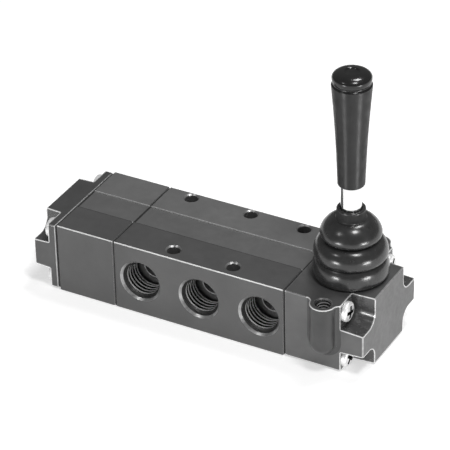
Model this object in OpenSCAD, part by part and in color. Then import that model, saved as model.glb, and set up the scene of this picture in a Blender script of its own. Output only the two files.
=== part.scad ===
// Hand lever air control valve: five ports, three positions, centred by springs.
// The origin is the middle of the valve body's underside. X runs along the spool
// towards the lever, Y runs away from the face with three ports, and Z is up.
// The lever turns about Y, and its ball pushes the spool along X.

/* [Valve body] */
// Width of the valve body across its ports
body_w = 47.6; // [46:0.1:60]
// Height of the valve body
body_h = 31.75; // [31:0.05:40]
// Bevel on the long edges of the machined blocks
edge_break = 0.35; // [0.1:0.05:0.8]
// Width of the shallow channel along the top
channel_w = 13.8; // [8:0.1:20]
// Depth of the shallow channel along the top
channel_d = 0.6; // [0.3:0.1:1]
// Radius of the bore that holds the sleeve stack
bore_r = 8; // [7.8:0.05:8.5]

/* [Ports] */
// Distance between neighbouring ports on the front
port_pitch = 27.45; // [26:0.05:30]
// Distance from an outer port to the body's end
port_end = 11.5; // [11.2:0.05:18]
// Offset of the middle port along the body
port_mid_x = 0.43; // [-1:0.01:1]
// Radius of the tapped wall of a port
port_r = 8.5; // [7.5:0.05:8.6]
// Depth of the tapped wall
port_depth = 12; // [9:0.1:13]
// Radius of the countersink at a port's mouth
port_sink_r = 9.4; // [8.7:0.05:10]
// Radius of the passage from a port to the bore
passage_r = 4.6; // [3:0.1:6]

/* [Fixing holes] */
// Radius of a fixing hole through the valve body
fix_r = 2.8; // [2:0.05:2.9]
// Radius of the countersink on a fixing hole
fix_sink_r = 3.4; // [2.95:0.05:3.4]
// Distance from the front face to the front row
fix_front_in = 6.1; // [4.8:0.1:6.8]
// Distance from the rear face to the rear row
fix_rear_in = 3.8; // [3.6:0.1:5.8]
// Offset of the front row's holes from the middle between two ports
fix_front_shift = -0.88; // [-1.2:0.01:1.2]
// Offset of the rear row's first hole from the port opposite
fix_rear_shift0 = 0.12; // [-1:0.01:0.5]
// Offset of the rear row's middle hole from the port opposite
fix_rear_shift1 = 0.67; // [-0.5:0.01:1]
// Offset of the rear row's last hole from the port opposite
fix_rear_shift2 = -1.98; // [-2:0.01:0]

/* [Seals and sleeve] */
// Thickness of the gaskets on the two faces of the valve body
gasket_t = 0.5; // [0.4:0.1:1]
// Thickness of the gasket under the end cap
cap_gasket_t = 0.8; // [0.4:0.1:1.2]
// Distance that a gasket lies back from the outside
gasket_inset = 0.35; // [0.2:0.05:1]
// Length of the groove between two cages that holds a seal ring
seal_gap = 1.8; // [1.7:0.05:2.2]
// Radial wall of a cage at its ends
cage_wall = 1.2; // [1:0.05:1.3]
// Radius of the holes round a cage
cage_hole_r = 2; // [1:0.1:2.4]
// Holes round a cage
cage_holes = 6; // [4:1:8]
// Clearance of parts that stand still in a bore
still_gap = 0.05; // [0.03:0.01:0.08]
// Clearance of parts that run in a bore
run_gap = 0.06; // [0.03:0.01:0.09]

/* [Spool] */
// Radius of the spool's lands
spool_r = 6.35; // [6.1:0.05:6.5]
// Radius of the spool's necks
spool_neck_r = 4.2; // [3.5:0.1:5]
// Half of the length of a neck
neck_half = 5.2; // [4.6:0.1:5.4]
// Radius of the tail that carries the spring collar
tail_r = 3.2; // [3:0.1:3.6]
// Radius of the threaded stud on the tail's end
stud_r = 2.4; // [2:0.1:2.6]
// Radius of the spring collar
collar_r = 8.9; // [8.6:0.05:9]
// Thickness of the spring collar
collar_t = 3; // [2:0.1:4]
// Width across flats of the collar nut
nut_af = 8; // [7:0.1:9]
// Thickness of the collar nut
nut_t = 4; // [3:0.1:5]

/* [Return springs] */
// Radius of the spring wire
wire_r = 0.7; // [0.5:0.05:0.8]
// Radius from a spring's axis to its wire's middle
coil_r = 7.6; // [7.4:0.05:7.7]
// Turns of each spring
coil_turns = 5.5; // [4:0.5:6]
// Thickness of the washer under the inner spring
seat_t = 1.2; // [0.8:0.1:2]

/* [Spring housing and end cap] */
// Length of the spring housing
spring_len = 26.7; // [26:0.1:34]
// Radius of the spring chamber
chamber_r = 9.5; // [9.4:0.05:10.5]
// Thickness of the end cap's flange
cap_flange = 3.5; // [3:0.1:6]
// Length of the end cap's lug beyond the flange
cap_lug = 7.15; // [6:0.05:12]
// Depth of the spring pocket in the end cap
cap_pocket = 4.5; // [3:0.1:6]
// Drop from the end cap's top to the floor of an upper notch
cap_notch_top = 8.9; // [8:0.1:9.2]
// Distance that the end cap's top lies below the body's
cap_drop = 0.65; // [0.3:0.05:1]

/* [Lever housing] */
// Length of the lever housing's full section
lever_flange = 24.8; // [24:0.1:30]
// Length of the lever housing's notched end
lever_lug = 10.05; // [10:0.05:14]
// Drop from the top to the floor of an upper notch
lever_notch_top = 11.3; // [10:0.1:11.6]
// Distance from the housing's inner face to the lever's axis
lever_in = 17.65; // [17.4:0.05:18]
// Radius of the well that holds the lever's carrier
well_r = 11; // [10.5:0.05:11.2]
// Distance from the ledge under the carrier up to the pivot
ledge_drop = 4.275; // [3.9:0.025:4.5]
// Radius of the cavity round the lever's ball
cavity_r = 10; // [9:0.1:10.2]
// Height of the cavity's floor
cavity_z = 6.5; // [5:0.1:7]
// Outer radius of the collar under the boot
spigot_r = 12.05; // [11.9:0.05:12.1]
// Height of the collar under the boot
spigot_h = 2.3; // [1.5:0.1:2.4]
// Radius of the bead round the collar's rim
bead_r = 0.4; // [0.3:0.05:0.6]

/* [Castings] */
// Distance that a casting's side lies back from the body's side
cast_in = 0.175; // [0:0.025:0.5]
// Height of the castings' underside above the body's
cast_lift = 0.7; // [0.3:0.05:1]
// Rounding on the castings' edges
cast_round = 0.6; // [0.3:0.05:1]
// Depth of a notch from the casting's side
notch_in = 10.2; // [9.8:0.05:10.6]
// Rise from a casting's underside to the top of a lower notch
notch_bottom = 8.8; // [8.6:0.05:9.4]
// Radius of the fillet inside a notch
notch_fillet = 5.4; // [4:0.05:5.6]
// Draft angle of the notches
draft = 3; // [0:0.5:4]

/* [Threaded bosses] */
// Radius of the boss on each side of the lever housing
boss_r = 5.4; // [5:0.05:6]
// Distance from the casting's side to the boss's axis
boss_out = 1.1; // [0:0.05:2]
// Length of the boss below the top
boss_len = 23.2; // [20:0.1:24]
// Radius of the fillet where the boss leaves the casting
boss_fillet = 2.6; // [1.5:0.1:3]
// Radius of the tapped wall in the boss
boss_tap_r = 3.15; // [2.5:0.05:3.3]
// Depth of the tapped wall in the boss
boss_tap_depth = 14; // [8:0.1:16]

/* [End screws] */
// Distance from a casting's side to a screw
screw_in = 4.625; // [4.425:0.025:4.825]
// Distance from the body's top or underside to a screw
screw_edge = 4.975; // [4.875:0.025:5.075]
// Radius of a screw's shank
screw_r = 2.1; // [1.8:0.05:2.4]
// Radius of a screw's head
head_r = 4.2; // [3.6:0.05:4.2]
// Height of a screw's head
head_h = 2.3; // [1.6:0.1:2.6]
// Length of thread inside the valve body
screw_grip = 6; // [5:0.1:6.5]
// Clearance of a screw in the castings
screw_gap = 0.25; // [0.1:0.05:0.4]

/* [Lever] */
// Distance from the spool's axis up to the pivot
arm = 11.6; // [11.4:0.05:11.8]
// Angle that the lever swings to each side
swing = 17; // [10:0.5:17]
// Radius of the lever's shaft
shaft_r = 4.3; // [3.9:0.05:4.4]
// Height of the shaft's upper end
shaft_top_z = 106; // [95:0.5:112]
// Radius of the lever's hub
hub_r = 4.8; // [4.6:0.05:5]
// Half of the width of the lever's hub
hub_half = 5.4; // [5:0.05:5.5]
// Radius of the neck above the ball
ball_neck_r = 2; // [1.8:0.05:2.1]
// Radius of the drive ball
ball_r = 4; // [3.6:0.05:4.1]
// Clearance on each side of the ball in the spool's slot
ball_gap = 0.1; // [0.08:0.01:0.15]
// Radius of the pivot pin
pin_r = 2.2; // [1.9:0.05:2.3]
// Wall of the bush round the pivot pin
bush_wall = 1; // [0.8:0.05:1.2]
// Thickness of the thrust washers beside the hub
thrust_t = 0.8; // [0.5:0.05:0.9]
// Radius of the thrust washers
thrust_r = 4.4; // [4:0.05:4.4]
// Inner radius of the carrier ring
carrier_in_r = 8; // [7.9:0.05:8.2]
// Height of the carrier ring
carrier_h = 7; // [6.8:0.1:7.3]
// Depth of the groove for the snap ring
snap_groove = 0.7; // [0.4:0.05:0.8]
// Thickness of the snap ring
snap_t = 0.9; // [0.7:0.05:1]
// Radial width of the snap ring
snap_w = 1.9; // [1.4:0.1:2.2]

/* [Grip] */
// Height of the grip's lower end
grip_z0 = 73.2; // [71:0.1:75]
// Length of the tapered part of the grip
grip_len = 45.2; // [40:0.1:55]
// Radius of the grip's lower end
grip_r0 = 5.5; // [5.3:0.05:7]
// Radius of the grip's upper rim
grip_r1 = 8.1; // [7.6:0.05:10]
// Sag of the grip's side between its ends
grip_sag = 0.35; // [0:0.05:0.6]
// Radius of the groove under the bead
groove_r = 7.2; // [6.6:0.05:7.4]
// Radius of the bead on the grip's end
knob_r = 7.9; // [7.5:0.05:8.8]
// Height of the bead on the grip's end
knob_h = 5; // [4.5:0.1:7]
// Radius of the dimple in the bead
dimple_r = 3.4; // [2:0.1:4]
// Radius of the threaded insert inside the grip
insert_r = 4.9; // [4.7:0.05:5]

/* [Boot] */
// Wall of the rubber boot
boot_t = 1.3; // [1:0.1:1.6]
// Radius of the lower fold's crest
fold1_r = 15.6; // [15:0.05:16.4]
// Radius of the waist over the lower fold
waist1_r = 13.2; // [12:0.05:14]
// Radius of the middle fold's crest
fold2_r = 15.1; // [14.4:0.05:15.8]
// Radius of the waist over the middle fold
waist2_r = 10.1; // [9.5:0.05:11.4]
// Radius of the upper fold's crest
fold3_r = 12.5; // [12.1:0.05:13.6]
// Height of the lower fold's crest above the foot
fold1_z = 2.8; // [2.4:0.1:3.4]
// Height of the lower waist above the foot
waist1_z = 8.6; // [7.8:0.1:9]
// Height of the middle fold's crest above the foot
fold2_z = 10.9; // [10.6:0.1:12]
// Height of the upper waist above the foot
waist2_z = 17.3; // [16.4:0.1:17.8]
// Height of the upper fold's crest above the foot
fold3_z = 19.8; // [19.4:0.1:20.6]
// Height of the upper fold's shoulder above the foot
shoulder_z = 24.3; // [23.6:0.1:25.4]
// Radius of the upper fold's shoulder, where the hollow to the neck begins
shoulder_r = 8.2; // [7.6:0.1:9]
// Height above the foot from which the neck is straight
neck_z = 28.4; // [27:0.1:29.4]
// Height of the boot's lip above the foot
lip_z = 31; // [30:0.1:33]
// Outer radius of the boot's neck
lip_r = 5.9; // [5.7:0.05:6.6]
// Clearance between the boot's neck and the shaft
lip_gap = 0.08; // [0.05:0.01:0.3]

/* [Hidden] */
$fn = 72;

// Stations along the spool, from the end cap to the end of the lever housing
body_len = 2 * (port_pitch + port_end);
body_x0 = -body_len / 2;
body_x1 = body_len / 2;
spring_x1 = body_x0 - gasket_t;
spring_x0 = spring_x1 - spring_len;
cap_x1 = spring_x0 - cap_gasket_t;
cap_face_x = cap_x1 - cap_flange;
cap_x0 = cap_face_x - cap_lug;
lever_x0 = body_x1 + gasket_t;
lever_face_x = lever_x0 + lever_flange;
lever_x1 = lever_face_x + lever_lug;
lever_x = lever_x0 + lever_in;

// Heights and places that follow from the sizes above
bore_z = body_h / 2;
pivot_z = bore_z + arm;
ledge_z = pivot_z - ledge_drop;
cast_w = body_w - 2 * cast_in;
screw_y = cast_w / 2 - screw_in;
screw_dz = body_h / 2 - screw_edge;
cap_top = body_h - cap_drop;
channel_z = body_h - channel_d;
port_xs = [for (i = [-1 : 1]) port_mid_x + i * port_pitch];
rear_port_xs = [for (i = [-0.5, 0.5]) port_mid_x + i * port_pitch];
cage_pitch = port_pitch / 2;
cage_xs = [for (i = [-2 : 2]) port_mid_x + i * cage_pitch];
seal_xs = [for (i = [-2.5 : 2.5]) port_mid_x + i * cage_pitch];
port_chamfer = port_sink_r - port_r;
fix_chamfer = fix_sink_r - fix_r;
fix_front_y = body_w / 2 - fix_front_in;
fix_rear_y = body_w / 2 - fix_rear_in;
fix_front_xs = [for (x = rear_port_xs) x + fix_front_shift];
fix_rear_xs = [port_xs[0] + fix_rear_shift0, port_xs[1] + fix_rear_shift1,
    port_xs[2] + fix_rear_shift2];
stroke = arm * swing * PI / 180;
over = 1;

// Radii that fit inside each other along the spool
sleeve_r = bore_r - still_gap;
cage_in_r = sleeve_r - cage_wall;
cage_relief = 0.6;
cage_relief_half = passage_r;
seal_in_r = spool_r + run_gap;
seal_wire_r = (sleeve_r - seal_in_r) / 2;
spool_end_r = spool_r;
lever_bore_r = spool_r + 0.5;
tail_x1 = seal_xs[0] - stroke - seal_gap;
seat_x0 = spring_x1 + gasket_t - seat_t - gasket_t;
pocket_x = cap_x1 - cap_pocket;
collar_x = (pocket_x + seat_x0) / 2;
spring_room = (seat_x0 - pocket_x - collar_t) / 2;
spring_play = 0.02;
nut_x0 = collar_x - collar_t / 2 - nut_t;
stud_x0 = nut_x0 - 0.8;
slot_half = ball_r + ball_gap;
slot_wall = 3.2;
spool_x1 = lever_x + slot_half + slot_wall;
slot_floor = bore_z - ball_r - 0.5;
lever_bore_x1 = spool_x1 + stroke + 0.8;

// Rings stacked in the lever housing's well
carrier_r = well_r - still_gap;
carrier_z1 = ledge_z + carrier_h;
snap_z0 = carrier_z1 + 0.1;
snap_groove_t = snap_t + 0.15;
snap_r = well_r + snap_groove - still_gap;
pin_half = sqrt(well_r * well_r - pin_r * pin_r) - 2 * still_gap;
bush_r = pin_r + run_gap + bush_wall;
shaft_bore_r = insert_r - 0.9;
shaft_thread_z = grip_z0 + 1.2;
grip_rim_z = grip_z0 + grip_len;
groove_z = grip_rim_z + 0.8;
grip_top_z = grip_rim_z + 0.4 + knob_h;

// The boot's foot fits over the bead on the lever housing's collar
foot_r = spigot_r + bead_r + still_gap + boot_t;

// Draws a flat shape given in Y and Z, and runs it along X from x0 to x1
module along_x(x0, x1) {
    translate([x0, 0, 0]) rotate([90, 0, 90]) linear_extrude(x1 - x0) children();
}

// Draws a flat shape given in X and Z, and runs it along Y from y0 to y1
module along_y(y0, y1) {
    translate([0, y1, 0]) rotate([90, 0, 0]) linear_extrude(y1 - y0) children();
}

// Draws a flat shape given in X and Y, and runs it up Z from z0 to z1
module along_z(z0, z1) {
    translate([0, 0, z0]) linear_extrude(z1 - z0) children();
}

// Round bar along X from x0 to x1 on the spool's axis
module spool_bar(x0, x1, r) {
    translate([x0, 0, bore_z]) rotate([0, 90, 0]) cylinder(h = x1 - x0, r = r);
}

// Rectangle from corner a to corner b with bevelled corners
module bevelled(a, b, c) {
    polygon([[a[0] + c, a[1]], [b[0] - c, a[1]], [b[0], a[1] + c], [b[0], b[1] - c],
        [b[0] - c, b[1]], [a[0] + c, b[1]], [a[0], b[1] - c], [a[0], a[1] + c]]);
}

// Rectangle from corner a to corner b with corners of radius r
module rounded(a, b, r) {
    translate([a[0] + r, a[1]]) square([b[0] - a[0] - 2 * r, b[1] - a[1]]);
    translate([a[0], a[1] + r]) square([b[0] - a[0], b[1] - a[1] - 2 * r]);
    for (x = [a[0] + r, b[0] - r], y = [a[1] + r, b[1] - r]) translate([x, y]) circle(r);
}

// Machined block with all its edges bevelled, from corner lo to corner hi
module machined_block(lo, hi) {
    intersection() {
        along_x(lo[0], hi[0]) bevelled([lo[1], lo[2]], [hi[1], hi[2]], edge_break);
        along_y(lo[1], hi[1]) bevelled([lo[0], lo[2]], [hi[0], hi[2]], edge_break);
        along_z(lo[2], hi[2]) bevelled([lo[0], lo[1]], [hi[0], hi[1]], edge_break);
    }
}

// Cast block with rounded edges, from x0 to x1 and up to z1
module cast_block(x0, x1, z1) {
    y = cast_w / 2;
    intersection() {
        along_x(x0, x1) rounded([-y, cast_lift], [y, z1], cast_round);
        along_y(-y, y) rounded([x0, cast_lift], [x1, z1], cast_round);
        along_z(cast_lift, z1) rounded([x0, -y], [x1, y], cast_round);
    }
}

// Shallow channel along the top of a block, from x0 to x1
module top_channel(x0, x1) {
    translate([x0 - over, -channel_w / 2, channel_z])
        cube([x1 - x0 + 2 * over, channel_w, channel_d + over]);
}

// Puts its children on the four screw axes, on the plane x = 0
module at_screws() {
    for (sy = [-1, 1], sz = [-1, 1])
        translate([0, sy * screw_y, bore_z + sz * screw_dz]) children();
}

// Clearance holes for the end screws, from x0 to x1
module screw_holes(x0, x1, r = screw_r + screw_gap) {
    at_screws() translate([x0, 0, 0]) rotate([0, 90, 0]) cylinder(h = x1 - x0, r = r);
}

// Tapped port that opens towards -Y at the face y = -body_w / 2
module port_cut(x) {
    translate([x, 0, bore_z]) rotate([90, 0, 0]) {
        cylinder(h = body_w / 2 + over, r = passage_r);
        translate([0, 0, body_w / 2 - port_depth]) cylinder(h = port_depth + over, r = port_r);
        translate([0, 0, body_w / 2 - port_chamfer])
            cylinder(h = port_chamfer, r1 = port_r, r2 = port_sink_r);
        translate([0, 0, body_w / 2]) cylinder(h = over, r = port_sink_r);
    }
}

// Fixing hole through the body with a countersink at both ends
module fixing_cut(x, y) {
    translate([x, y, -over]) cylinder(h = body_h + 2 * over, r = fix_r);
    translate([x, y, 0]) cylinder(h = fix_chamfer, r1 = fix_sink_r, r2 = fix_r);
    translate([x, y, body_h - fix_chamfer]) cylinder(h = fix_chamfer, r1 = fix_r, r2 = fix_sink_r);
}

module valve_body() {
    color("#4c4c4e") difference() {
        machined_block([body_x0, -body_w / 2, 0], [body_x1, body_w / 2, body_h]);
        top_channel(body_x0, body_x1);
        spool_bar(body_x0 - over, body_x1 + over, bore_r);
        for (x = port_xs) port_cut(x);
        for (x = rear_port_xs) rotate([0, 0, 180]) port_cut(-x);
        for (x = fix_front_xs) fixing_cut(x, -fix_front_y);
        for (x = fix_rear_xs) fixing_cut(x, fix_rear_y);
        screw_holes(body_x0 - over, body_x0 + screw_grip + over, screw_r + still_gap);
        screw_holes(body_x1 - screw_grip - over, body_x1 + over, screw_r + still_gap);
    }
}

module spring_housing() {
    color("#4a4a4c") difference() {
        machined_block([spring_x0, -body_w / 2, 0], [spring_x1, body_w / 2, body_h]);
        top_channel(spring_x0, spring_x1);
        spool_bar(spring_x0 - over, spring_x1 + over, chamber_r);
        screw_holes(spring_x0 - over, spring_x1 + over);
    }
}

// Gasket between two blocks, with holes for the bore and the screws
module gasket(x0, x1, w, z0, z1, r) {
    color("#1c1c1c") difference() {
        translate([x0, -w / 2 + gasket_inset, z0 + gasket_inset])
            cube([x1 - x0, w - 2 * gasket_inset, z1 - z0 - 2 * gasket_inset]);
        spool_bar(x0 - over, x1 + over, r);
        screw_holes(x0 - over, x1 + over);
    }
}

module end_cap_gasket() {
    gasket(cap_x1, spring_x0, cast_w, cast_lift, channel_z, chamber_r);
}

module spring_housing_gasket() {
    gasket(spring_x1, body_x0, body_w, 0, channel_z + gasket_inset, chamber_r);
}

module lever_housing_gasket() {
    gasket(body_x1, lever_x0, cast_w, cast_lift, channel_z + gasket_inset, bore_r);
}

// Outline of one notch, seen along X, with the screw's axis at the origin.
// inner is the distance to the notch's wall, and floor_d the distance to its floor.
module notch_outline(inner, floor_d) {
    r = notch_fillet;
    reach = 20;
    translate([-inner + r, -floor_d]) square([reach, floor_d + reach]);
    translate([-inner, -floor_d + r]) square([reach, reach]);
    translate([-inner + r, -floor_d + r]) circle(r);
}

// One drafted notch that starts at a flange's face and runs out along +X
module notch_cut(inner, floor_d) {
    start = 3;
    reach = 20;
    intersection() {
        rotate([0, draft, -draft]) along_x(-start, reach) notch_outline(inner, floor_d);
        translate([0, -reach, -reach]) cube([reach, 2 * reach + reach, 2 * reach + reach]);
    }
}

// The four notches of a casting whose flange faces +X at x = 0
module corner_notches(top, notch_top) {
    inner = screw_y - (cast_w / 2 - notch_in);
    up = bore_z + screw_dz - (top - notch_top);
    down = cast_lift + notch_bottom - (bore_z - screw_dz);
    for (sy = [0, 1]) mirror([0, sy, 0]) {
        translate([0, screw_y, bore_z + screw_dz]) notch_cut(inner, up);
        translate([0, screw_y, bore_z - screw_dz]) mirror([0, 0, 1]) notch_cut(inner, down);
    }
}

module end_cap() {
    color("#4e4e50") difference() {
        cast_block(cap_x0, cap_x1, cap_top);
        translate([cap_face_x, 0, 0]) mirror([1, 0, 0]) corner_notches(cap_top, cap_notch_top);
        spool_bar(pocket_x, cap_x1 + over, chamber_r);
        screw_holes(cap_x0, cap_x1 + over);
    }
}

// Half of a boss's outline in X and Y: the boss's arc and the fillet that joins it
// to the casting's side, which lies on y = 0, with the boss's axis at (0, -boss_out)
module boss_half() {
    // The fillet bites a hair into the boss's arc, so that the two arcs cross cleanly
    bite = 0.006;
    drop = boss_fillet - boss_out;
    run = sqrt(pow(boss_r + boss_fillet - bite, 2) - drop * drop);
    inside = 0.85 * boss_r / (boss_r + boss_fillet);
    intersection() {
        union() {
            translate([0, -boss_out]) circle(boss_r);
            difference() {
                polygon([[0, over], [run, over], [run, 0], [run * inside,
                    -boss_out - drop * inside], [0, -boss_out]]);
                translate([run, -boss_fillet]) circle(boss_fillet);
            }
        }
        translate([0, -boss_out - boss_r]) square([run, boss_out + boss_r + over]);
    }
}

// Boss for a tapped hole on the casting's front side, with a round lower end
module boss() {
    low = body_h - boss_len + boss_r;
    translate([lever_x, -cast_w / 2, 0]) {
        for (side = [0, 1]) mirror([side, 0, 0]) along_z(low, body_h) boss_half();
        translate([0, 0, low]) rotate([90, 0, 0]) rotate_extrude() mirror([0, 1, 0]) boss_half();
    }
}

module lever_housing() {
    boss_y = cast_w / 2 + boss_out;
    color("#505052") difference() {
        union() {
            cast_block(lever_x0, lever_x1, body_h);
            for (sy = [0, 1]) mirror([0, sy, 0]) boss();
            translate([lever_x, 0, body_h - over]) cylinder(h = spigot_h + over, r = spigot_r);
            translate([lever_x, 0, body_h + spigot_h - bead_r]) rotate_extrude()
                translate([spigot_r, 0]) circle(bead_r);
        }
        translate([lever_face_x, 0, 0]) corner_notches(body_h, lever_notch_top);
        screw_holes(lever_x0 - over, lever_x1);
        spool_bar(lever_x0 - over, lever_bore_x1, lever_bore_r);
        translate([lever_x, 0, cavity_z]) cylinder(h = body_h, r = cavity_r);
        translate([lever_x, 0, ledge_z]) cylinder(h = body_h, r = well_r);
        translate([lever_x, 0, snap_z0]) cylinder(h = snap_groove_t, r = well_r + snap_groove);
        for (sy = [-1, 1]) translate([lever_x, sy * boss_y, body_h]) {
            translate([0, 0, -boss_tap_depth]) cylinder(h = boss_tap_depth + over, r = boss_tap_r);
            translate([0, 0, -0.5]) cylinder(h = 0.5, r1 = boss_tap_r, r2 = boss_tap_r + 0.5);
        }
    }
}

// Pan head screw along X whose head sits on x = 0 and whose shank runs towards +X
module end_screw(shank) {
    recess_w = 1.1;
    recess_len = head_r * 1.15;
    difference() {
        union() {
            rotate([0, 90, 0]) cylinder(h = shank, r = screw_r);
            translate([-head_h, 0, 0]) rotate([0, 90, 0]) {
                translate([0, 0, head_h * 0.45]) cylinder(h = head_h * 0.55, r = head_r);
                cylinder(h = head_h * 0.45, r1 = head_r * 0.82, r2 = head_r);
            }
        }
        for (turn = [0, 90]) rotate([turn, 0, 0])
            translate([-head_h - over, -recess_w / 2, -recess_len / 2])
                cube([over + head_h * 0.6, recess_w, recess_len]);
    }
}

module end_cap_screws() {
    color("#d8d8d8") translate([cap_face_x, 0, 0]) at_screws()
        end_screw(body_x0 + screw_grip - cap_face_x);
}

module lever_housing_screws() {
    color("#d8d8d8") translate([lever_face_x, 0, 0]) at_screws()
        mirror([1, 0, 0]) end_screw(lever_face_x - body_x1 + screw_grip);
}

// Slotted ring that holds the seals apart and lets air reach the spool at one port
module port_cage(x) {
    half = (cage_pitch - seal_gap) / 2;
    difference() {
        spool_bar(x - half, x + half, sleeve_r);
        spool_bar(x - half - over, x + half + over, cage_in_r);
        difference() {
            spool_bar(x - cage_relief_half, x + cage_relief_half, sleeve_r + over);
            spool_bar(x - half, x + half, sleeve_r - cage_relief);
        }
        translate([x, 0, bore_z]) for (i = [0 : cage_holes - 1])
            rotate([i * 360 / cage_holes, 0, 0]) translate([0, 0, cage_in_r - over])
                cylinder(h = cage_wall + 2 * over, r = cage_hole_r);
    }
}

module port_cages() {
    color("#b9975b") for (x = cage_xs) port_cage(x);
}

module bore_seals() {
    color("#151515") for (x = seal_xs) translate([x, 0, bore_z]) rotate([0, 90, 0])
        rotate_extrude() translate([(sleeve_r + seal_in_r) / 2, 0]) circle(seal_wire_r);
}

// Rings that fill the bore between the outer seals and the body's faces
module end_retainers() {
    color("#b9975b") {
        difference() {
            spool_bar(body_x0, seal_xs[0] - seal_gap / 2, sleeve_r);
            spool_bar(body_x0 - over, seal_xs[0], cage_in_r);
        }
        difference() {
            spool_bar(seal_xs[5] + seal_gap / 2, body_x1, sleeve_r);
            spool_bar(seal_xs[5], body_x1 + over, cage_in_r);
        }
    }
}

module spool() {
    color("#c9c9c6") difference() {
        union() {
            spool_bar(tail_x1, spool_x1, spool_r);
            spool_bar(collar_x + collar_t / 2, tail_x1 + over, tail_r);
            spool_bar(stud_x0, collar_x + collar_t / 2 + over, stud_r);
        }
        for (x = rear_port_xs) difference() {
            spool_bar(x - neck_half, x + neck_half, spool_r + over);
            spool_bar(x - neck_half - over, x + neck_half + over, spool_neck_r);
        }
        translate([lever_x - slot_half, -spool_r - over, slot_floor])
            cube([2 * slot_half, 2 * (spool_r + over), 2 * spool_r]);
    }
}

module spring_collar() {
    color("#a8a8a8") difference() {
        spool_bar(collar_x - collar_t / 2, collar_x + collar_t / 2, collar_r);
        spool_bar(collar_x - collar_t, collar_x + collar_t, stud_r + still_gap);
    }
}

module collar_nut() {
    flat_r = nut_af / 2 / cos(30);
    color("#bdbdbd") difference() {
        translate([nut_x0, 0, bore_z]) rotate([0, 90, 0]) cylinder(h = nut_t, r = flat_r, $fn = 6);
        spool_bar(nut_x0 - over, nut_x0 + nut_t + over, stud_r + still_gap);
    }
}

// One ring of points round the wire where the coil has turned by a, at x along the spring
function wire_ring(x, a, sides) = [for (k = [0 : sides - 1])
    let (r = coil_r + wire_r * cos(k * 360 / sides))
    [x + wire_r * sin(k * 360 / sides), r * cos(a), r * sin(a)]];

// Place along the spring after a share t of the coil: the end turns lie nearly flat
function coil_place(t, room) =
    let (dead = 0.75 / coil_turns, ease = 0.05)
    t < dead ? room * ease * t / dead
    : t > 1 - dead ? room * (1 - ease * (1 - t) / dead)
    : room * (ease + (1 - 2 * ease) * (t - dead) / (1 - 2 * dead));

// Helical spring between two flat seats a length apart, from x = 0 towards +X
module coil_spring(length) {
    sides = 8;
    steps = round(coil_turns * 18);
    room = length - 2 * wire_r - 2 * spring_play;
    rings = [for (i = [0 : steps])
        wire_ring(wire_r + spring_play + coil_place(i / steps, room),
            i * 360 * coil_turns / steps, sides)];
    points = [for (ring = rings) each ring];
    walls = [for (i = [0 : steps - 1], k = [0 : sides - 1])
        let (a = i * sides + k, b = i * sides + (k + 1) % sides)
        each [[a, b, b + sides], [a, b + sides, a + sides]]];
    first = [for (k = [sides - 1 : -1 : 0]) k];
    last = [for (k = [0 : sides - 1]) steps * sides + k];
    polyhedron(points, concat(walls, [first, last]), convexity = 12);
}

module inner_spring() {
    color("#9a9a9a") translate([collar_x + collar_t / 2, 0, bore_z]) coil_spring(spring_room);
}

module outer_spring() {
    color("#9a9a9a") translate([pocket_x, 0, bore_z]) coil_spring(spring_room);
}

module spring_seat() {
    color("#b0b0b0") difference() {
        spool_bar(seat_x0, seat_x0 + seat_t, chamber_r - 0.15);
        spool_bar(seat_x0 - over, seat_x0 + seat_t + over, spool_r + 0.3);
    }
}

module lever_shaft() {
    thread_r = shaft_bore_r - still_gap;
    color("#e2e2e2") translate([lever_x, 0, 0]) difference() {
        union() {
            translate([0, 0, pivot_z]) cylinder(h = shaft_thread_z - pivot_z, r = shaft_r);
            translate([0, 0, shaft_thread_z - over])
                cylinder(h = shaft_top_z - shaft_thread_z + over, r = thread_r);
            translate([0, -hub_half, pivot_z]) rotate([-90, 0, 0])
                cylinder(h = 2 * hub_half, r = hub_r);
            translate([0, 0, bore_z - ball_r * 0.5])
                cylinder(h = arm + ball_r * 0.5, r = ball_neck_r);
        }
        translate([0, -hub_half - over, pivot_z]) rotate([-90, 0, 0])
            cylinder(h = 2 * (hub_half + over), r = bush_r + still_gap);
    }
}

module drive_ball() {
    color("#d0d0d0") translate([lever_x, 0, bore_z]) difference() {
        sphere(ball_r);
        translate([0, 0, -ball_r * 0.5]) cylinder(h = 2 * ball_r, r = ball_neck_r + still_gap);
    }
}

module pivot_pin() {
    color("#c4c4c4") translate([lever_x, -pin_half, pivot_z]) rotate([-90, 0, 0])
        cylinder(h = 2 * pin_half, r = pin_r);
}

module pivot_bush() {
    color("#b08a4a") translate([lever_x, -hub_half, pivot_z]) rotate([-90, 0, 0]) difference() {
        cylinder(h = 2 * hub_half, r = bush_r);
        translate([0, 0, -over]) cylinder(h = 2 * (hub_half + over), r = pin_r + run_gap);
    }
}

module thrust_washers() {
    color("#d8d2c0") for (sy = [0, 1]) mirror([0, sy, 0])
        translate([lever_x, hub_half + 0.1, pivot_z]) rotate([-90, 0, 0]) difference() {
            cylinder(h = thrust_t, r = thrust_r);
            translate([0, 0, -over]) cylinder(h = thrust_t + 2 * over, r = pin_r + still_gap);
        }
}

module carrier_ring() {
    color("#8f8f8f") translate([lever_x, 0, 0]) difference() {
        translate([0, 0, ledge_z]) cylinder(h = carrier_h, r = carrier_r);
        translate([0, 0, ledge_z - over]) cylinder(h = carrier_h + 2 * over, r = carrier_in_r);
        translate([0, -well_r, pivot_z]) rotate([-90, 0, 0])
            cylinder(h = 2 * well_r, r = pin_r + still_gap / 2);
    }
}

module snap_ring() {
    mouth = 5;
    color("#777777") translate([lever_x, 0, snap_z0 + 0.05]) difference() {
        cylinder(h = snap_t, r = snap_r);
        translate([0, 0, -over]) cylinder(h = snap_t + 2 * over, r = snap_r - snap_w);
        translate([-snap_r - over, -mouth / 2, -over]) cube([snap_r, mouth, snap_t + 2 * over]);
    }
}

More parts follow.
